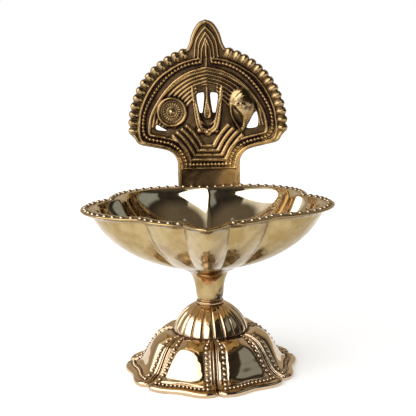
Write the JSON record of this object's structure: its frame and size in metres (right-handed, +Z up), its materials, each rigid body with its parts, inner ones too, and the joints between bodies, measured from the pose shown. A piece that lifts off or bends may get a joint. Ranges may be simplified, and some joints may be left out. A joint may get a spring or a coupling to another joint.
{
  "type": "brass diya oil lamp",
  "caption": "Footed brass oil lamp: a lobed bowl with a wick spout and beaded rim, an arched relief back plate, and a hollow petal foot that screws on.",
  "frame": {"origin": "middle of the lamp's footprint box, on the surface that the foot stands on; the stem's axis is 4.52 mm behind it, because the spout reaches further than the plate", "axes": "+Z up along the stem; -Y towards the wick spout; +X to the right seen from the spout"},
  "size_m": [0.1002, 0.108, 0.1431],
  "materials": {
    "foot_brass": "polished",
    "stud_brass": "machined",
    "collar_brass": "polished",
    "bowl_brass": "polished",
    "plate_brass": "antiqued",
    "solder": "dull"
  },
  "bodies": {
    "foot": {"foot": "foot_brass", "threaded_stud": "stud_brass", "stud_washer": "stud_brass", "stud_nut": "stud_brass"},
    "collar": {"collar_ring": "collar_brass"},
    "bowl": {"bowl": "bowl_brass", "back_plate": "plate_brass", "plate_solder_left": "solder", "plate_solder_right": "solder"}
  },
  "joints": [
    {"name": "bowl_turn", "type": "hinge", "parent": "foot", "child": "collar", "pos_m": [0, 0.00452, 0.0276], "axis": [0, 0, 1], "range_deg": [0, 2520]},
    {"name": "bowl_rise", "type": "slide", "parent": "collar", "child": "bowl", "axis": [0, 0, 1], "range_m": [0, 0.0071]}
  ],
  "couplings": [
    {"joint": "bowl_rise", "follows": "bowl_turn", "m_per_rad": 0.00015915}
  ]
}
